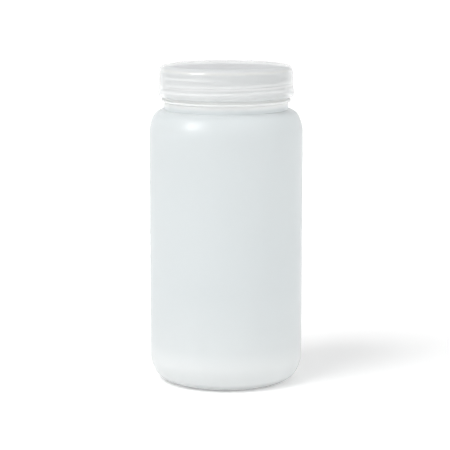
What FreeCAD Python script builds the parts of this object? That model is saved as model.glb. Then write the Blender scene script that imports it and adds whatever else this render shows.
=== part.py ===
import FreeCAD, Part
import math
import os
import Sketcher

# Wide-mouth reagent bottle of one litre, blow-moulded in natural polypropylene, with a screw cap
# and the sealing disc that lies under the cap's top. Millimetres, +Z up. The origin is on the
# bottle's axis, on the plane that its foot stands on.

SIZES = [
    ("body_diameter", 92.0, "outside of the straight wall"),
    ("shoulder_top", 165.0, "height of the shoulder's crown, where the neck leaves it"),
    ("shoulder_height", 13.4, "from the end of the straight wall up to the crown"),
    ("shoulder_radius", 7.0, "small radius of the shoulder, beside the neck"),
    ("heel_height", 15.2, "from the foot up to the straight wall"),
    ("heel_inset", 12.5, "from the straight wall in to the foot"),
    ("heel_radius", 11.0, "small radius of the heel, beside the foot"),
    ("foot_width", 3.5, "width of the flat ring that the bottle stands on"),
    ("punt_depth", 2.5, "how far the middle of the base is pushed up"),
    ("punt_slope", 6.0, "width of the sloping ring around the pushed-up middle"),
    ("neck_diameter", 74.3, "outside of the neck, under its thread"),
    ("neck_height", 23.3, "from the shoulder's crown up to the mouth's flat rim"),
    ("neck_bevel", 1.2, "bevel outside, between the shoulder and the neck"),
    ("side_wall", 1.3, "wall of the body and the shoulder"),
    ("base_wall", 1.8, "wall of the base"),
    ("neck_wall", 1.7, "wall of the neck"),
    ("bead_depth", 1.6, "how far the bead below the cap stands out from the neck"),
    ("bead_drop", 2.5, "from the cap's lower edge down to the bead's middle"),
    ("thread_pitch", 4.2, "rise of the right-hand thread in one turn"),
    ("thread_depth", 1.25, "how far the neck's thread stands out from the neck"),
    ("thread_drop", 12.95, "from the rim down to the middle of the neck's thread where it starts"),
    ("thread_tip_width", 0.9, "width of a thread's flat crest"),
    ("thread_flank", 0.52, "widening of a thread's half width for each mm of depth"),
    ("thread_root", 0.1, "how deep a thread's foot is sunk in its wall"),
    ("thread_fade", 0.12, "turns over which a thread's end sinks into its wall"),
    ("thread_lap", 0.01, "turns by which such an end starts inside the full thread"),
    ("thread_step", 0.02, "how much slimmer it is there"),
    ("neck_thread_start", 150.0, "direction in which the neck's thread starts, in degrees"),
    ("neck_thread_turns", 2.25, "full-height turns of the neck's thread"),
    ("cap_thread_rise", 1.7, "from the cap's lower edge up to the middle of its thread's start"),
    ("cap_thread_turns", 1.6, "full-height turns of the cap's thread"),
    ("radial_gap", 0.3, "clearance between a thread's crest and the wall it faces"),
    ("flank_gap", 0.34, "clearance along the axis between the flanks that carry the cap"),
    ("cap_wall", 1.35, "wall of the cap's skirt, below its rounded top edge"),
    ("cap_flare", 0.3, "how much the skirt's radius grows down to its lip"),
    ("cap_skirt", 16.3, "from the sealing face inside down to the cap's lower edge"),
    ("cap_plate", 2.2, "thickness of the cap's top"),
    ("cap_edge", 4.0, "radius that the flats along the cap's top edge touch"),
    ("cap_corner", 1.0, "bevel inside, between the cap's top and its skirt"),
    ("cap_entry", 0.5, "bevel inside the cap's lower edge"),
    ("lip_height", 4.2, "height of the swelling along the cap's lower edge"),
    ("lip_swell", 0.55, "how far that swelling stands out"),
    ("disc_thickness", 1.0, "thickness of the sealing disc"),
    ("disc_gap", 0.1, "clearance between the disc and the cap's inside corner"),
]

# A heel or a shoulder turns through a small arc and a large one. This is the large one's radius.
LARGE = "(pow({inset}; 2) + pow({rise} - {small}; 2) - pow({small}; 2)) / (2 * ({inset} - {small}))"

RELATIONS = [
    ("body", "body_diameter / 2", "radius of the straight wall"),
    ("neck", "neck_diameter / 2", "radius of the neck"),
    ("inside", "body - side_wall", "radius inside the straight wall"),
    ("bore", "neck - neck_wall", "radius inside the neck"),
    ("foot", "body - heel_inset", "outer radius of the ring that the bottle stands on"),
    ("foot_inside", "foot - foot_width", "inner radius of that ring"),
    ("punt", "foot_inside - punt_slope", "radius of the pushed-up middle"),
    ("heel_small", "min(heel_radius; 0.9 * heel_inset)", "limited by the heel's inset"),
    ("heel_top", "max(heel_height; 1.1 * heel_inset)", "never lower than the heel is wide"),
    ("heel_large", LARGE.format(inset="heel_inset", rise="heel_top", small="heel_small"), ""),
    ("shoulder_inset", "body - neck", "from the straight wall in to the neck"),
    ("crown_small", "min(shoulder_radius; 0.8 * shoulder_inset)", "limited by that inset"),
    ("shoulder_rise", "max(shoulder_height; 1.1 * shoulder_inset)", "never less than the inset"),
    ("crown_large", LARGE.format(inset="shoulder_inset", rise="shoulder_rise", small="crown_small"), ""),
    ("crown_level", "shoulder_top - crown_small", "height of the small arc's centre"),
    ("wall_top", "shoulder_top - shoulder_rise", "height of the straight wall's end"),
    ("ceiling", "shoulder_top - side_wall", "height of the shoulder inside"),
    ("rim", "shoulder_top + neck_height", "height of the mouth's flat rim"),
    ("seat", "rim + disc_thickness", "height of the sealing face inside the cap"),
    ("cap_foot", "seat - cap_skirt", "height of the cap's lower edge"),
    ("bead_level", "cap_foot - bead_drop", "height of the bead's middle"),
    ("bead_crest", "neck + bead_depth", "radius of the bead"),
    ("thread_level", "rim - thread_drop", "height of the neck's thread where it starts"),
    ("thread_foot", "neck - thread_root", "radius that the neck's thread and bead rise from"),
    ("thread_crest", "neck + thread_depth", "radius of the neck's thread"),
    ("cap_bore", "thread_crest + radial_gap", "radius inside the cap"),
    ("cap_thread_foot", "cap_bore + thread_root", "radius that the cap's thread rises from"),
    ("cap_thread_crest", "neck + radial_gap", "radius that the cap's thread reaches in to"),
    ("mesh_drop", "thread_tip_width + thread_flank * (thread_crest - cap_thread_crest) + flank_gap",
     "how far the cap's thread lies below the neck's"),
    ("cap_thread_lag", "(cap_foot + cap_thread_rise - thread_level + mesh_drop) / thread_pitch",
     "turns by which the cap's thread starts after the neck's"),
    ("cap_side", "cap_bore + cap_wall", "radius of the cap below its rounded top edge"),
    ("cap_flared", "cap_side + cap_flare", "radius of the skirt at its lip"),
    ("disc_radius", "cap_bore - cap_corner - disc_gap", "radius of the sealing disc"),
]

doc = FreeCAD.newDocument("wide_mouth_bottle")
sheet = doc.addObject("Spreadsheet::Sheet", "sizes")
FORMULAS = [(alias, f"={formula}", note) for alias, formula, note in RELATIONS]
for row, (alias, content, note) in enumerate(SIZES + FORMULAS, start=1):
    sheet.set(f"A{row}", note)
    sheet.set(f"B{row}", str(content))
    sheet.setAlias(f"B{row}", alias)
doc.recompute()

ORIGIN = (-1, 1)


def value(size):
    """The number that an expression on the sheet comes to."""
    return float(sheet.evalExpression(size))


def vector(x, y):
    return FreeCAD.Vector(x, y, 0)


def new_body(name):
    body = doc.addObject("PartDesign::Body", name)
    body.Label = name
    return body


def sketch_on(body, name, plane="XZ_Plane"):
    sketch = body.newObject("Sketcher::SketchObject", name)
    support = [f for f in body.Origin.OriginFeatures if f.Role == plane]
    sketch.AttachmentSupport = [(support[0], "")]
    sketch.MapMode = "FlatFace"
    return sketch


def line(sketch, start, end):
    return sketch.addGeometry(Part.LineSegment(vector(*start), vector(*end)), False)


def arc(sketch, centre, radius, first, last):
    """An arc that runs anticlockwise between two angles in radians."""
    circle = Part.Circle(vector(*centre), FreeCAD.Vector(0, 0, 1), radius)
    return sketch.addGeometry(Part.ArcOfCircle(circle, first, last), False)


def rule(sketch, kind, *where):
    sketch.addConstraint(Sketcher.Constraint(kind, *where))


def measure(sketch, kind, *where, size):
    """A dimension that follows an expression on the sheet."""
    index = sketch.addConstraint(Sketcher.Constraint(kind, *where, value(size)))
    sketch.setExpression(f"Constraints[{index}]", size)


def chain(sketch, kind, *points):
    """Bring points together two by two, at a corner or smoothly."""
    for one, other in zip(points[::2], points[1::2]):
        rule(sketch, kind, *one, *other)


def place(sketch, point, across=None, up=None):
    """Hold a sketch point across and up from the origin. "0" holds it on the sketch's axis."""
    for kind, size, axis in (("DistanceX", across, -2), ("DistanceY", up, -1)):
        if size == "0":
            rule(sketch, "PointOnObject", *point, axis)
        elif size:
            measure(sketch, kind, *ORIGIN, *point, size=size)


def polygon(sketch, corners):
    """A closed outline of straight edges through corners, each placed across and up."""
    spots = [(value(across), value(up)) for across, up in corners]
    edges = [line(sketch, here, there) for here, there in zip(spots, spots[1:] + spots[:1])]
    for here, there in zip(edges, edges[1:] + edges[:1]):
        rule(sketch, "Coincident", here, 2, there, 1)
    for edge, (across, up) in zip(edges, corners):
        place(sketch, (edge, 1), across, up)


def revolve(body, kind, name, outline):
    sketch = sketch_on(body, f"{name}_outline")
    outline(sketch)
    feature = body.newObject(kind, name)
    feature.Profile = sketch
    feature.ReferenceAxis = (sketch, ["V_Axis"])
    feature.Angle = 360
    body.Tip = feature
    doc.recompute()


def skin_outline(sketch):
    """Half of the bottle's outside, filled in to its axis."""
    body = value("sizes.body")
    foot = value("sizes.foot")
    neck = value("sizes.neck")
    rim = value("sizes.rim")
    heel_top = value("sizes.heel_top")
    heel = value("sizes.heel_small")
    large_heel = value("sizes.heel_large")
    heel_turn = math.atan2(heel - heel_top, foot - body + large_heel)
    wall_top = value("sizes.wall_top")
    crown = value("sizes.crown_small")
    crown_level = value("sizes.crown_level")
    large_crown = value("sizes.crown_large")
    crown_turn = math.atan2(crown_level - wall_top, neck - body + large_crown)
    bevel = value("sizes.neck_bevel")
    crown_end = math.acos(bevel / crown)
    root_level = crown_level + crown * math.sin(crown_end)
    punt = (value("sizes.punt"), value("sizes.punt_depth"))
    ring = (value("sizes.foot_inside"), 0)

    middle = line(sketch, (0, punt[1]), punt)
    slope = line(sketch, punt, ring)
    sole = line(sketch, ring, (foot, 0))
    lower_heel = arc(sketch, (foot, heel), heel, -math.pi / 2, heel_turn)
    upper_heel = arc(sketch, (body - large_heel, heel_top), large_heel, heel_turn, 0)
    wall = line(sketch, (body, heel_top), (body, wall_top))
    lower_crown = arc(sketch, (body - large_crown, wall_top), large_crown, 0, crown_turn)
    upper_crown = arc(sketch, (neck, crown_level), crown, crown_turn, crown_end)
    root = line(sketch, (neck + bevel, root_level), (neck, root_level + bevel))
    throat = line(sketch, (neck, root_level + bevel), (neck, rim))
    mouth = line(sketch, (neck, rim), (0, rim))
    axis = line(sketch, (0, rim), (0, punt[1]))

    chain(sketch, "Coincident", (axis, 2), (middle, 1), (middle, 2), (slope, 1))
    chain(sketch, "Coincident", (slope, 2), (sole, 1), (upper_crown, 2), (root, 1))
    chain(sketch, "Coincident", (root, 2), (throat, 1), (throat, 2), (mouth, 1))
    chain(sketch, "Coincident", (mouth, 2), (axis, 1))
    chain(sketch, "Tangent", (sole, 2), (lower_heel, 1), (lower_heel, 2), (upper_heel, 1))
    chain(sketch, "Tangent", (upper_heel, 2), (wall, 1), (wall, 2), (lower_crown, 1))
    chain(sketch, "Tangent", (lower_crown, 2), (upper_crown, 1))
    for level in (middle, sole, mouth):
        rule(sketch, "Horizontal", level)
    for upright in (wall, throat, axis):
        rule(sketch, "Vertical", upright)

    place(sketch, (middle, 1), across="0")
    place(sketch, (middle, 2), across="sizes.punt", up="sizes.punt_depth")
    place(sketch, (sole, 1), across="sizes.foot_inside", up="0")
    place(sketch, (sole, 2), across="sizes.foot")
    place(sketch, (wall, 1), across="sizes.body", up="sizes.heel_top")
    place(sketch, (wall, 2), up="sizes.wall_top")
    place(sketch, (upper_crown, 3), across="sizes.neck", up="sizes.crown_level")
    place(sketch, (root, 1), across="sizes.neck + sizes.neck_bevel")
    place(sketch, (throat, 1), across="sizes.neck")
    place(sketch, (throat, 2), up="sizes.rim")
    measure(sketch, "DistanceY", root, 1, root, 2, size="sizes.neck_bevel")
    measure(sketch, "Radius", lower_heel, size="sizes.heel_small")
    measure(sketch, "Radius", upper_crown, size="sizes.crown_small")


def within(x, y, small, large, rise, inset):
    """Where a small arc meets its large one, a side wall's thickness in from the skin."""
    reach = f"({small} - sizes.side_wall) / ({large} - {small})"
    return (f"{x} + {reach} * ({large} - {inset})", f"{y} + {reach} * ({rise})")


def cavity_outline(sketch):
    """Half of the bottle's inside. Its flats keep at least a wall's thickness from the skin."""
    heel = within(
        "sizes.foot",
        "sizes.heel_small",
        "sizes.heel_small",
        "sizes.heel_large",
        "sizes.heel_small - sizes.heel_top",
        "sizes.heel_inset",
    )
    crown = within(
        "sizes.neck",
        "sizes.crown_level",
        "sizes.crown_small",
        "sizes.crown_large",
        "sizes.crown_level - sizes.wall_top",
        "sizes.shoulder_inset",
    )
    polygon(
        sketch,
        [
            ("0", "sizes.base_wall + sizes.punt_depth"),
            ("sizes.punt", "sizes.base_wall + sizes.punt_depth"),
            ("sizes.foot_inside", "sizes.base_wall"),
            ("sizes.foot", "sizes.base_wall"),
            heel,
            ("sizes.inside", "sizes.heel_top"),
            ("sizes.inside", "sizes.wall_top"),
            crown,
            ("sizes.neck", "sizes.ceiling"),
            ("sizes.bore", "sizes.ceiling"),
            ("sizes.bore", "sizes.rim"),
            ("0", "sizes.rim"),
        ],
    )


def ridge_outline(sketch, foot, crest, level, slim="0"):
    """A ridge's section: a flat crest between two sloping flanks, its foot sunk in the wall."""
    tip = f"(sizes.thread_tip_width / 2 - {slim})"
    wide = f"({tip} + sizes.thread_flank * abs({crest} - ({foot})))"
    polygon(
        sketch,
        [
            (foot, f"{level} - {wide}"),
            (crest, f"{level} - {tip}"),
            (crest, f"{level} + {tip}"),
            (foot, f"{level} + {wide}"),
        ],
    )


def bead_outline(sketch):
    """The ring below the cap, in the same section as the thread."""
    ridge_outline(sketch, "sizes.thread_foot", "sizes.bead_crest", "sizes.bead_level")


def helix(body, name, start, turns, level, foot, crest, growth="0", slim="0"):
    """One stretch of thread. start is in turns from the +X direction, growth in mm a turn."""
    sketch = sketch_on(body, f"{name}_outline")
    sketch.setExpression("AttachmentOffset.Rotation.Axis.y", "1")
    sketch.setExpression("AttachmentOffset.Rotation.Axis.z", "0")
    sketch.setExpression("AttachmentOffset.Rotation.Angle", f"360 * ({start})")
    ridge_outline(sketch, foot, crest, level, slim)
    ridge = body.newObject("PartDesign::AdditiveHelix", name)
    ridge.Profile = sketch
    ridge.ReferenceAxis = (sketch, ["V_Axis"])
    ridge.Mode = "height-turns-growth"
    ridge.setExpression("Turns", turns)
    ridge.setExpression("Height", f"sizes.thread_pitch * ({turns})")
    ridge.setExpression("Growth", growth)
    ridge.LeftHanded = False
    ridge.Reversed = False
    body.Tip = ridge
    doc.recompute()


def thread(body, name, start, turns, level, foot, crest, out):
    """A right-hand thread whose two ends sink into the wall that it stands on.

    out is 1 for a thread that stands outwards and -1 for one that stands inwards. Each end starts
    a hair slimmer inside the full thread, and fades from there.
    """
    slim = "sizes.thread_step"
    fade = "(sizes.thread_fade + sizes.thread_lap)"
    depth = f"({crest} - {foot})"
    slim_foot = f"{foot} - {out} * {slim}"
    slim_crest = f"{crest} - {out} * {slim}"
    helix(
        body,
        f"{name}_lead_in",
        f"{start} - sizes.thread_fade",
        fade,
        f"{level} - sizes.thread_pitch * sizes.thread_fade",
        f"{slim_foot} - {depth}",
        f"{slim_crest} - {depth}",
        growth=f"{depth} / {fade}",
        slim=slim,
    )
    helix(body, f"{name}_turns", start, turns, level, foot, crest)
    helix(
        body,
        f"{name}_run_out",
        f"{start} + {turns} - sizes.thread_lap",
        fade,
        f"{level} + sizes.thread_pitch * ({turns} - sizes.thread_lap)",
        slim_foot,
        slim_crest,
        growth=f"-{depth} / {fade}",
        slim=slim,
    )


def rounding(x, y, radius, count):
    """Corners of flats that touch an outer quarter arc around x and y, from its top to its side."""
    step = 90 / (count + 1)
    reach = f"{radius} / cos({step / 2} deg)"
    angles = [90 - step * (index + 0.5) for index in range(count + 1)]
    return [(f"{x} + {reach} * cos({a} deg)", f"{y} + {reach} * sin({a} deg)") for a in angles]


def cap_outline(sketch):
    """The cap's outer form, measured from the sealing face inside it."""
    edge = rounding(
        "sizes.cap_side - sizes.cap_edge",
        "sizes.cap_plate - sizes.cap_edge",
        "sizes.cap_edge",
        count=3,
    )
    polygon(
        sketch,
        [
            ("0", "sizes.cap_plate"),
            *edge,
            ("sizes.cap_flared", "sizes.lip_height - sizes.cap_skirt"),
            ("sizes.cap_flared + sizes.lip_swell", "sizes.lip_height / 2 - sizes.cap_skirt"),
            ("sizes.cap_flared", "-sizes.cap_skirt"),
            ("0", "-sizes.cap_skirt"),
        ],
    )


def bore_outline(sketch):
    """The hollow that takes the neck, up to the sealing face."""
    polygon(
        sketch,
        [
            ("0", "0"),
            ("sizes.cap_bore - sizes.cap_corner", "0"),
            ("sizes.cap_bore", "-sizes.cap_corner"),
            ("sizes.cap_bore", "sizes.cap_entry - sizes.cap_skirt"),
            ("sizes.cap_bore + sizes.cap_entry", "-sizes.cap_skirt"),
            ("0", "-sizes.cap_skirt"),
        ],
    )


# The bottle: body, shoulder and neck in one blown wall, with a bead and a thread on the neck.
bottle = new_body("bottle")
revolve(bottle, "PartDesign::Revolution", "skin", skin_outline)
revolve(bottle, "PartDesign::Groove", "cavity", cavity_outline)
revolve(bottle, "PartDesign::Revolution", "bead", bead_outline)
thread(
    bottle,
    "neck_thread",
    start="sizes.neck_thread_start / 360",
    turns="sizes.neck_thread_turns",
    level="sizes.thread_level",
    foot="sizes.thread_foot",
    crest="sizes.thread_crest",
    out=1,
)

# The cap, in its own frame: the sealing face inside it is at height 0. Its thread lies under the
# neck's, a flank's clearance below it all the way round.
cap = new_body("cap")
revolve(cap, "PartDesign::Revolution", "shell", cap_outline)
revolve(cap, "PartDesign::Groove", "bore", bore_outline)
thread(
    cap,
    "cap_thread",
    start="sizes.neck_thread_start / 360 + sizes.cap_thread_lag",
    turns="sizes.cap_thread_turns",
    level="sizes.cap_thread_rise - sizes.cap_skirt",
    foot="sizes.cap_thread_foot",
    crest="sizes.cap_thread_crest",
    out=-1,
)
cap.setExpression("Placement.Base.z", "sizes.seat")

# The sealing disc lies on the rim, inside the cap, and is a little wider than the cap's thread.
sealing_disc = new_body("sealing_disc")
round_cut = sketch_on(sealing_disc, "disc_outline", plane="XY_Plane")
circle = Part.Circle(vector(0, 0), FreeCAD.Vector(0, 0, 1), value("sizes.disc_radius"))
round_edge = round_cut.addGeometry(circle)
rule(round_cut, "Coincident", round_edge, 3, *ORIGIN)
measure(round_cut, "Radius", round_edge, size="sizes.disc_radius")
disc = sealing_disc.newObject("PartDesign::Pad", "disc")
disc.Profile = round_cut
disc.setExpression("Length", "sizes.disc_thickness")
sealing_disc.Tip = disc
sealing_disc.setExpression("Placement.Base.z", "sizes.rim")

doc.recompute()

for item in doc.Objects:
    if {"Invalid", "Error"} & set(item.State):
        raise RuntimeError(f"{item.Label} could not be built")

os.makedirs("parts", exist_ok=True)
for piece in (bottle, cap, sealing_disc):
    shape = piece.Shape
    if shape.isNull() or not shape.isValid() or len(shape.Solids) != 1:
        raise RuntimeError(f"{piece.Label} is not one sound solid")
    shape.exportStep(f"parts/{piece.Label}.step")
    print(f"{piece.Label}: {shape.Volume / 1000:.2f} cm3")
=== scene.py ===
import math

import bmesh
import bpy
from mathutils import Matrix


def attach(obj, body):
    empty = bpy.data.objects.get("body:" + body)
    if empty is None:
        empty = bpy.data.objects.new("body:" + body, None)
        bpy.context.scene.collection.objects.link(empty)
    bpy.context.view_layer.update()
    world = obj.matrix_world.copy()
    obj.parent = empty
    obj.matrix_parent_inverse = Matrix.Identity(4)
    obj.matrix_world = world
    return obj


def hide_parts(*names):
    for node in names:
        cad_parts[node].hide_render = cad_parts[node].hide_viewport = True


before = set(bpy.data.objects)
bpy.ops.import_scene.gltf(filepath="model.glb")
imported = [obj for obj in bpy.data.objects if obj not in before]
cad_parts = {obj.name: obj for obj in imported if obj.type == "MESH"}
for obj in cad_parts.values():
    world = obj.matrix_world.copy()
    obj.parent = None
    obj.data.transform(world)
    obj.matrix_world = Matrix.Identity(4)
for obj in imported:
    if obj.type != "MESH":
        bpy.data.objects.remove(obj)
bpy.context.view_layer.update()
scene = bpy.context.scene
mm = 0.001
print("frame loaded")


# shared steps

mergeDistance = 1e-6
onWall = 0.02  # how near to a wall's radius a vertex counts as being on it


# a profile's rows are radius, height, how far the rounding reaches along each side, its segments
# fineRows gives the cuts in the run that starts at a row, inner the first row of the inside
def spinProfile(piece):
    rows = piece["profile"]
    bm = bmesh.new()
    bm.verts.layers.float.new("thickAndLit")
    inside = bm.verts.layers.float.new("inside")
    verts = [bm.verts.new((row[0] * mm, 0, row[1] * mm)) for row in rows]
    for vert in verts[piece["inner"]:]:
        vert[inside] = 1
    cutLayer = bm.edges.layers.int.new("cuts")
    for index, pair in enumerate(zip(verts, verts[1:])):
        bm.edges.new(pair)[cutLayer] = piece["fineRows"].get(index, 0)
    for vert, row in zip(verts, rows):
        if len(row) > 2:
            bmesh.ops.bevel(
                bm, geom=[vert], offset=row[2] * mm, offset_type="OFFSET", segments=row[3],
                profile=0.5, affect="VERTICES", material=-1,
            )
    for cuts in set(piece["fineRows"].values()):
        runs = [edge for edge in bm.edges if edge[cutLayer] == cuts]
        bmesh.ops.subdivide_edges(bm, edges=runs, cuts=cuts)
    # an eighth of the turn first, then its seven copies, which is much quicker than one full spin
    bmesh.ops.spin(
        bm, geom=bm.verts[:] + bm.edges[:], cent=(0, 0, 0), axis=(0, 0, 1), dvec=(0, 0, 0),
        angle=math.pi / 4, steps=piece["steps"] // 8, use_duplicate=False,
    )
    bmesh.ops.spin(
        bm, geom=bm.verts[:] + bm.edges[:] + bm.faces[:], cent=(0, 0, 0), axis=(0, 0, 1),
        dvec=(0, 0, 0), angle=math.pi * 7 / 4, steps=7, use_duplicate=True,
    )
    bmesh.ops.remove_doubles(bm, verts=bm.verts[:], dist=mergeDistance)
    bmesh.ops.recalc_face_normals(bm, faces=bm.faces[:])
    return bm


def smoothStep(value):
    value = min(max(value, 0.0), 1.0)
    return value * value * (3 - 2 * value)


# the value at a height, from pairs of height and value with straight steps between them
def atHeight(pairs, height):
    for (low, first), (high, last) in zip(pairs, pairs[1:]):
        if low <= height <= high:
            return first + (last - first) * (height - low) / (high - low)
    return 0.0


# how far a right-hand thread with faded ends stands out here, from 0 to 1
def threadShare(thread, x, y, height):
    turn = (math.atan2(y, x) / (2 * math.pi) - thread["start"] / 360) % 1 - 1
    share = 0.0
    while turn < thread["turns"] + 1:
        away = abs(height - thread["level"] - thread["pitch"] * turn) - thread["tip"] / 2
        ends = smoothStep(1 + min(turn, thread["turns"] - turn) / thread["fade"])
        share = max(share, smoothStep(1 - away / thread["flank"]) * ends)
        turn += 1
    return share


# moves the fine rows of a wall in or out into the thread, marks the thicker plastic there, whose
# lighter colour is also painted light along the thread, and the sheer wall between its turns, which
# takes the darker inside colour as painted shade, and marks where the thread shows on the far side
# of the wall as painted light bands
def raiseThread(bm, thread, out):
    low, high = thread["rows"]
    thickAndLit = bm.verts.layers.float["thickAndLit"]
    inside = bm.verts.layers.float["inside"]
    for vert in bm.verts:
        radius = math.hypot(vert.co.x, vert.co.y) / mm
        height = vert.co.z / mm
        if radius < thread["wall"] - onWall or height < low or height > high:
            continue
        share = threadShare(thread, vert.co.x, vert.co.y, height)
        # painted light: the thread shows as lighter bands on the far side of the wall
        vert[thickAndLit] = share * atHeight(thread["farSide"], height)
        if radius < thread["wall"] + onWall:
            # painted light: the ridges take the lighter thick colour; painted shade: the wall
            # between the turns takes the inside colour
            vert[thickAndLit] = share
            vert[inside] = max(vert[inside], thread["sheerAndShade"] * (1 - share))
            scale = 1 + out * share * thread["depth"] / radius
            vert.co.x *= scale
            vert.co.y *= scale


# marks where the wall is thicker, whose lighter colour is also painted light on the heel and on the
# neck below the cap, and where the base lets more light through and takes the darker inside colour
# as painted shade
def markWall(bm, thickAndLitPairs, sheerAndShadePairs):
    thickAndLit = bm.verts.layers.float["thickAndLit"]
    inside = bm.verts.layers.float["inside"]
    for vert in bm.verts:
        height = vert.co.z / mm
        vert[thickAndLit] = max(vert[thickAndLit], atHeight(thickAndLitPairs, height))
        vert[inside] = max(vert[inside], atHeight(sheerAndShadePairs, height))


def makePiece(name, solid, bm, body, material):
    mesh = bpy.data.meshes.new(name)
    for face in bm.faces:
        face.smooth = True
    bm.to_mesh(mesh)
    bm.free()
    mesh.materials.append(material)
    piece = bpy.data.objects.new(name, mesh)
    scene.collection.objects.link(piece)
    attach(piece, body)
    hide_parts(solid)
    print(name, "made,", len(mesh.polygons), "faces")


# materials

def newMaterial(name):
    material = bpy.data.materials.new(name)
    material.use_nodes = True
    tree = material.node_tree
    tree.nodes.clear()
    output = tree.nodes.new("ShaderNodeOutputMaterial")
    return material, tree, output


def mathNode(tree, operation, first, second=0.0, third=0.0):
    node = tree.nodes.new("ShaderNodeMath")
    node.operation = operation
    for index, source in enumerate((first, second, third)):
        if isinstance(source, (int, float)):
            node.inputs[index].default_value = source
        else:
            tree.links.new(source, node.inputs[index])
    return node.outputs[0]


def softBand(tree, distance, middle, width):
    away = mathNode(tree, "ABSOLUTE", mathNode(tree, "SUBTRACT", distance, middle))
    band = tree.nodes.new("ShaderNodeMapRange")
    band.interpolation_type = "SMOOTHSTEP"
    band.inputs["From Max"].default_value = width
    band.inputs["To Min"].default_value = 1
    band.inputs["To Max"].default_value = 0
    tree.links.new(away, band.inputs["Value"])
    return band.outputs[0]


moulding = {
    "cloudScale": 22, "cloudDetail": 3, "waveScale": 75, "waveDetail": 1, "waveHeight": 0.35,
    "seamWidth": 0.0004, "seamHeight": 0.8, "gateRadius": 0.0022, "gateWidth": 0.0006,
    "gateHeight": 1.0, "bumpDistance": 0.0001,
}


# faint clouding, slow waves in the wall, the mould's parting line and the mark of the gate
def makeMouldingGroup():
    group = bpy.data.node_groups.new("mouldedSurface", "ShaderNodeTree")
    for name in ("Seam", "Gate"):
        group.interface.new_socket(name, in_out="INPUT", socket_type="NodeSocketFloat")
    group.interface.new_socket("Cloud", in_out="OUTPUT", socket_type="NodeSocketFloat")
    group.interface.new_socket("Normal", in_out="OUTPUT", socket_type="NodeSocketVector")
    given = group.nodes.new("NodeGroupInput")
    result = group.nodes.new("NodeGroupOutput")
    place = group.nodes.new("ShaderNodeTexCoord")
    axes = group.nodes.new("ShaderNodeSeparateXYZ")
    group.links.new(place.outputs["Object"], axes.inputs[0])

    cloud = group.nodes.new("ShaderNodeTexNoise")
    cloud.inputs["Scale"].default_value = moulding["cloudScale"]
    cloud.inputs["Detail"].default_value = moulding["cloudDetail"]
    wave = group.nodes.new("ShaderNodeTexNoise")
    wave.inputs["Scale"].default_value = moulding["waveScale"]
    wave.inputs["Detail"].default_value = moulding["waveDetail"]
    for noise in (cloud, wave):
        group.links.new(place.outputs["Object"], noise.inputs["Vector"])

    seam = softBand(group, axes.outputs["Y"], 0.0, moulding["seamWidth"])
    squares = mathNode(
        group, "MULTIPLY_ADD", axes.outputs["X"], axes.outputs["X"],
        mathNode(group, "MULTIPLY", axes.outputs["Y"], axes.outputs["Y"]),
    )
    gate = softBand(
        group, mathNode(group, "SQRT", squares), moulding["gateRadius"], moulding["gateWidth"]
    )
    height = mathNode(group, "MULTIPLY", wave.outputs[0], moulding["waveHeight"])
    seamPart = mathNode(group, "MULTIPLY", seam, given.outputs["Seam"])
    gatePart = mathNode(group, "MULTIPLY", gate, given.outputs["Gate"])
    height = mathNode(group, "MULTIPLY_ADD", seamPart, moulding["seamHeight"], height)
    height = mathNode(group, "MULTIPLY_ADD", gatePart, moulding["gateHeight"], height)
    bump = group.nodes.new("ShaderNodeBump")
    bump.inputs["Distance"].default_value = moulding["bumpDistance"]
    group.links.new(height, bump.inputs["Height"])
    group.links.new(cloud.outputs[0], result.inputs["Cloud"])
    group.links.new(bump.outputs[0], result.inputs["Normal"])
    return group


mouldingGroup = makeMouldingGroup()
refraction = 1.49
sheenSpread = 0.03  # how far the clouding moves the roughness each way


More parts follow.
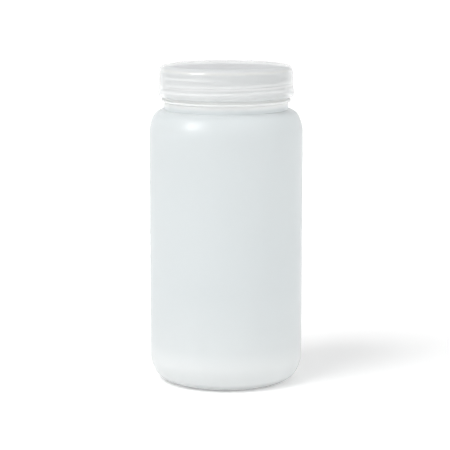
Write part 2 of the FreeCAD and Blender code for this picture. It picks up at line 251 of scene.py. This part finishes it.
# the layers on the vertices choose the colour of thick walls, which is partly painted light, and of
# the inside, which is painted shade on the bottle, and how much light a wall lets through, which is
# more inside and less where it is thick
def makePlastic(name, look):
    material, tree, output = newMaterial(name)
    surface = tree.nodes.new("ShaderNodeGroup")
    surface.node_tree = mouldingGroup
    surface.inputs["Seam"].default_value = look["seam"]
    surface.inputs["Gate"].default_value = look["gate"]
    tint = tree.nodes.new("ShaderNodeMix")
    tint.data_type = "RGBA"
    tint.inputs["A"].default_value = (*look["colour"], 1)
    tint.inputs["B"].default_value = (*look["cloudColour"], 1)
    thickAndLitShare = tree.nodes.new("ShaderNodeAttribute")
    thickAndLitShare.attribute_name = "thickAndLit"
    insideShare = tree.nodes.new("ShaderNodeAttribute")
    insideShare.attribute_name = "inside"
    # painted shade: the inside colour darkens the bottle's inner faces, its neck between the
    # thread's turns and its base
    inner = tree.nodes.new("ShaderNodeMix")
    inner.data_type = "RGBA"
    inner.inputs["B"].default_value = (*look["insideColour"], 1)
    # painted light: the thick colour lightens the thread, the heel and the neck below the cap,
    # besides showing thicker plastic
    thickAndLit = tree.nodes.new("ShaderNodeMix")
    thickAndLit.data_type = "RGBA"
    thickAndLit.inputs["B"].default_value = (*look["thickAndLitColour"], 1)
    sheen = tree.nodes.new("ShaderNodeMapRange")
    sheen.inputs["To Min"].default_value = look["roughness"] - sheenSpread
    sheen.inputs["To Max"].default_value = look["roughness"] + sheenSpread
    shader = tree.nodes.new("ShaderNodeBsdfPrincipled")
    shader.inputs["IOR"].default_value = refraction
    shader.inputs["Specular IOR Level"].default_value = look["shine"]
    shader.inputs["Subsurface Weight"].default_value = look["depth"]
    shader.inputs["Subsurface Radius"].default_value = look["reach"]
    shader.inputs["Subsurface Scale"].default_value = look["scale"]
    tree.links.new(surface.outputs["Cloud"], tint.inputs["Factor"])
    tree.links.new(surface.outputs["Cloud"], sheen.inputs["Value"])
    tree.links.new(thickAndLitShare.outputs["Fac"], thickAndLit.inputs["Factor"])
    tree.links.new(tint.outputs["Result"], inner.inputs["A"])
    tree.links.new(insideShare.outputs["Fac"], inner.inputs["Factor"])
    tree.links.new(inner.outputs["Result"], thickAndLit.inputs["A"])
    tree.links.new(thickAndLit.outputs["Result"], shader.inputs["Base Color"])
    if look["cover"] < 1:
        cover = tree.nodes.new("ShaderNodeMapRange")
        cover.inputs["To Min"].default_value = look["cover"]
        cover.inputs["To Max"].default_value = look["thickCover"]
        tree.links.new(thickAndLitShare.outputs["Fac"], cover.inputs["Value"])
        fainter = mathNode(
            tree, "MULTIPLY_ADD", insideShare.outputs["Fac"], look["insideCover"] - 1, 1
        )
        covered = mathNode(tree, "MULTIPLY", cover.outputs[0], fainter)
        tree.links.new(covered, shader.inputs["Alpha"])
    tree.links.new(sheen.outputs[0], shader.inputs["Roughness"])
    tree.links.new(surface.outputs["Normal"], shader.inputs["Normal"])
    tree.links.new(shader.outputs["BSDF"], output.inputs["Surface"])
    return material


bottlePlastic = makePlastic("milkyPlasticBlown", {
    "colour": (0.782, 0.829, 0.844), "cloudColour": (0.796, 0.838, 0.850),
    # the thick colour is partly thicker plastic and partly painted light; the inside colour is
    # painted shade
    "thickAndLitColour": (0.955, 0.945, 0.925), "insideColour": (0.50, 0.535, 0.545),
    "cover": 0.65, "thickCover": 0.95, "insideCover": 0.46,
    "roughness": 0.34, "shine": 0.25, "depth": 0.4, "reach": (1.0, 1.0, 1.0), "scale": 0.0015,
    "seam": 1.0, "gate": 0.0,
})
capPlastic = makePlastic("milkyPlasticMoulded", {
    "colour": (0.900, 0.930, 0.943), "cloudColour": (0.914, 0.936, 0.941),
    # the thick colour is partly thicker plastic and partly painted light: the thread's bands on the
    # skirt
    "thickAndLitColour": (0.990, 0.990, 0.985), "insideColour": (0.900, 0.930, 0.943),
    "cover": 0.52, "thickCover": 0.8, "insideCover": 0.35,
    "roughness": 0.22, "shine": 0.42, "depth": 0.4, "reach": (1.0, 1.0, 1.0), "scale": 0.0015,
    "seam": 0.0, "gate": 1.0,
})
discFoam = makePlastic("foam", {
    "colour": (0.60, 0.55, 0.43), "cloudColour": (0.61, 0.56, 0.45),
    "thickAndLitColour": (0.66, 0.67, 0.70), "insideColour": (0.60, 0.55, 0.43),
    "cover": 1.0,
    "roughness": 0.7, "shine": 0.3, "depth": 0.3, "reach": (1.0, 1.0, 1.0), "scale": 0.002,
    "seam": 0.0, "gate": 0.0,
})
print("materials made")


# bottle

bottle = {
    "steps": 288,
    "fineRows": {5: 20, 14: 110, 21: 20},
    "inner": 17,
    "profile": [
        (0, 2.5),
        (24.0, 2.5, 2.0, 4),
        (30.0, 0, 1.5, 4),
        (38.71, 0, 5.2, 14),
        (46.0, 8.9, 6.29, 14),
        (46.0, 16.0),
        (46.0, 60.0),
        (46.0, 157.1, 5.49, 14),
        (41.0, 165.0, 3.85, 12),
        (37.15, 165.0, 1.2, 6),
        (37.15, 169.4, 0.35, 3),
        (38.75, 169.9, 0.45, 4),
        (38.75, 171.1, 0.45, 4),
        (37.15, 171.6, 0.35, 3),
        (37.15, 173.4),
        (37.15, 187.0),
        (37.15, 188.3, 0.3, 3),
        (35.45, 188.3, 0.5, 4),
        (35.45, 163.7, 1.4, 6),
        (40.23, 163.7, 3.1, 8),
        (44.7, 156.63, 5.1, 10),
        (44.7, 60.0),
        (44.7, 16.0),
        (44.7, 9.68, 5.7, 10),
        (38.25, 1.8, 4.45, 10),
        (30.0, 1.8, 1.5, 4),
        (24.0, 4.3, 2.0, 4),
        (0, 4.3),
    ],
    "thread": {
        "wall": 37.15, "depth": 1.25, "tip": 0.9, "flank": 0.6, "pitch": 4.2, "fade": 0.12,
        "level": 175.35, "start": 150, "turns": 2.25, "rows": (173.3, 187.1),
        # the sheer wall between the turns takes the inside colour as painted shade
        "sheerAndShade": 1, "farSide": [],
    },
    # painted light, partly thicker plastic: a lighter heel and a lighter neck band below the cap
    "thickAndLit": [
        (0, 0.35), (15, 0.35), (18, 0.3), (25, 0.16), (38, 0.09), (60, 0), (166.2, 0), (166.4, 0.65),
        (173.3, 0.65), (173.5, 0),
    ],
    # the base lets more light through and takes the inside colour as painted shade
    "sheerAndShade": [(0, 0.6), (5, 0)],
}

bottleMesh = spinProfile(bottle)
raiseThread(bottleMesh, bottle["thread"], 1)
markWall(bottleMesh, bottle["thickAndLit"], bottle["sheerAndShade"])
makePiece("bottleShell", "bottle", bottleMesh, "bottle", bottlePlastic)


# cap

cap = {
    "steps": 288,
    "fineRows": {2: 60, 9: 110},
    "inner": 8,
    "profile": [
        (0, 191.5),
        (40.05, 191.5, 4.0, 14),
        (40.1, 187.2),
        (40.3, 178.4),
        (40.33, 177.2, 1.0, 4),
        (40.9, 175.1, 0.9, 6),
        (40.35, 173.0, 0.4, 3),
        (39.2, 173.0, 0.2, 2),
        (38.7, 173.5, 0.2, 2),
        (38.7, 173.8),
        (38.7, 188.3),
        (38.7, 189.3, 0.7, 4),
        (0, 189.3),
    ],
    "thread": {
        "wall": 38.7, "depth": 1.25, "tip": 0.9, "flank": 0.6, "pitch": 4.2, "fade": 0.12,
        "level": 174.7, "start": 242.9, "turns": 1.6, "rows": (173.6, 188.3),
        # farSide paints the cap's thread as lighter bands on its outer wall: painted light
        "sheerAndShade": 0, "farSide": [(178.4, 0), (180, 0.5), (188.3, 0.5)],
    },
}

capMesh = spinProfile(cap)
raiseThread(capMesh, cap["thread"], -1)
makePiece("capShell", "cap", capMesh, "cap", capPlastic)


# sealing disc, with a film of another colour on its top, in the layer that elsewhere marks thick
# walls and painted light

disc = {
    "steps": 192,
    "fineRows": {},
    "inner": 4,
    "film": [(188.3, 0), (189.2, 0), (189.29, 1), (189.5, 1)],
    "profile": [
        (0, 188.3),
        (37.6, 188.3, 0.1, 2),
        (37.6, 189.3, 0.1, 2),
        (0, 189.3),
    ],
}

discMesh = spinProfile(disc)
markWall(discMesh, disc["film"], [])
makePiece("linerDisc", "sealing_disc", discMesh, "disc", discFoam)


# floor and world

studio = {
    "floorSize": 60, "floorColour": 0.95, "floorGlow": 0.17, "skyLow": 0.98, "skyTop": 0.34,
    "skyWhite": 1.0,
}


# the rays that see the white surroundings, while the others get their softer light
def seenRays(tree):
    path = tree.nodes.new("ShaderNodeLightPath")
    seen = mathNode(
        tree, "MAXIMUM", path.outputs["Is Camera Ray"], path.outputs["Is Glossy Ray"]
    )
    return mathNode(tree, "MAXIMUM", seen, path.outputs["Is Transmission Ray"])


def makeFloor():
    material, tree, output = newMaterial("floorPaper")
    diffuse = tree.nodes.new("ShaderNodeBsdfDiffuse")
    diffuse.inputs["Color"].default_value = (*[studio["floorColour"]] * 3, 1)
    glow = tree.nodes.new("ShaderNodeEmission")
    glow.inputs["Color"].default_value = (1, 1, 1, 1)
    strength = mathNode(tree, "MULTIPLY", seenRays(tree), studio["floorGlow"])
    add = tree.nodes.new("ShaderNodeAddShader")
    tree.links.new(strength, glow.inputs["Strength"])
    tree.links.new(diffuse.outputs[0], add.inputs[0])
    tree.links.new(glow.outputs[0], add.inputs[1])
    tree.links.new(add.outputs[0], output.inputs["Surface"])
    bm = bmesh.new()
    bmesh.ops.create_grid(bm, x_segments=1, y_segments=1, size=studio["floorSize"] / 2)
    mesh = bpy.data.meshes.new("floor")
    bm.to_mesh(mesh)
    bm.free()
    mesh.materials.append(material)
    floor = bpy.data.objects.new("floor", mesh)
    scene.collection.objects.link(floor)


def makeWorld():
    world = bpy.data.worlds.new("studio")
    world.use_nodes = True
    scene.world = world
    tree = world.node_tree
    tree.nodes.clear()
    output = tree.nodes.new("ShaderNodeOutputWorld")
    sky = tree.nodes.new("ShaderNodeBackground")
    sky.inputs["Color"].default_value = (1, 1, 1, 1)
    direction = tree.nodes.new("ShaderNodeTexCoord")
    upwards = tree.nodes.new("ShaderNodeSeparateXYZ")
    fade = tree.nodes.new("ShaderNodeMapRange")
    fade.inputs["To Min"].default_value = studio["skyLow"]
    fade.inputs["To Max"].default_value = studio["skyTop"]
    level = tree.nodes.new("ShaderNodeMapRange")
    level.inputs["To Max"].default_value = studio["skyWhite"]
    tree.links.new(direction.outputs["Generated"], upwards.inputs[0])
    tree.links.new(upwards.outputs["Z"], fade.inputs["Value"])
    tree.links.new(fade.outputs[0], level.inputs["To Min"])
    tree.links.new(seenRays(tree), level.inputs["Value"])
    tree.links.new(level.outputs[0], sky.inputs["Strength"])
    tree.links.new(sky.outputs[0], output.inputs["Surface"])


makeFloor()
makeWorld()
print("floor and world made")


# lamps: azimuth is left of the camera, height above the horizon, spread is the lamp's width

lamps = {
    "keyLamp": {
        "azimuth": 48, "height": 53, "spread": 30, "strength": 1.25, "lights": True, "shines": False,
    },
    "sideLamp": {
        "azimuth": 62, "height": 14, "spread": 50, "strength": 0.6, "lights": True, "shines": False,
    },
    "fillLamp": {
        "azimuth": -60, "height": 18, "spread": 60, "strength": 0.8, "lights": True, "shines": False,
    },
    "glossLamp": {
        "azimuth": 57, "height": 32, "spread": 22, "strength": 4.5, "lights": False, "shines": True,
    },
}

for lampName, lamp in lamps.items():
    lampData = bpy.data.lights.new(lampName, "SUN")
    lampData.energy = lamp["strength"]
    lampData.angle = math.radians(lamp["spread"])
    lampObject = bpy.data.objects.new(lampName, lampData)
    scene.collection.objects.link(lampObject)
    lampObject.visible_diffuse = lamp["lights"]
    lampObject.visible_transmission = lamp["lights"]
    lampObject.visible_glossy = lamp["shines"]
    lampObject.rotation_euler = (
        math.radians(90 - lamp["height"]), 0, math.radians(-lamp["azimuth"])
    )
print("lamps made")


# camera at the photograph's angle

view = {
    "tilt": 9.3, "distance": 1.147, "target": 0.0943, "side": -0.0007, "lens": 151.4, "sensor": 36,
    "nearest": 0.05, "farthest": 100,
}

cameraData = bpy.data.cameras.new("camera")
cameraData.lens = view["lens"]
cameraData.sensor_width = view["sensor"]
cameraData.clip_start = view["nearest"]
cameraData.clip_end = view["farthest"]
camera = bpy.data.objects.new("camera", cameraData)
scene.collection.objects.link(camera)
tilt = math.radians(view["tilt"])
camera.location = (
    view["side"],
    -view["distance"] * math.cos(tilt),
    view["target"] + view["distance"] * math.sin(tilt),
)
camera.rotation_euler = (math.pi / 2 - tilt, 0, 0)
scene.camera = camera

scene.view_settings.view_transform = "Standard"
print("camera set")
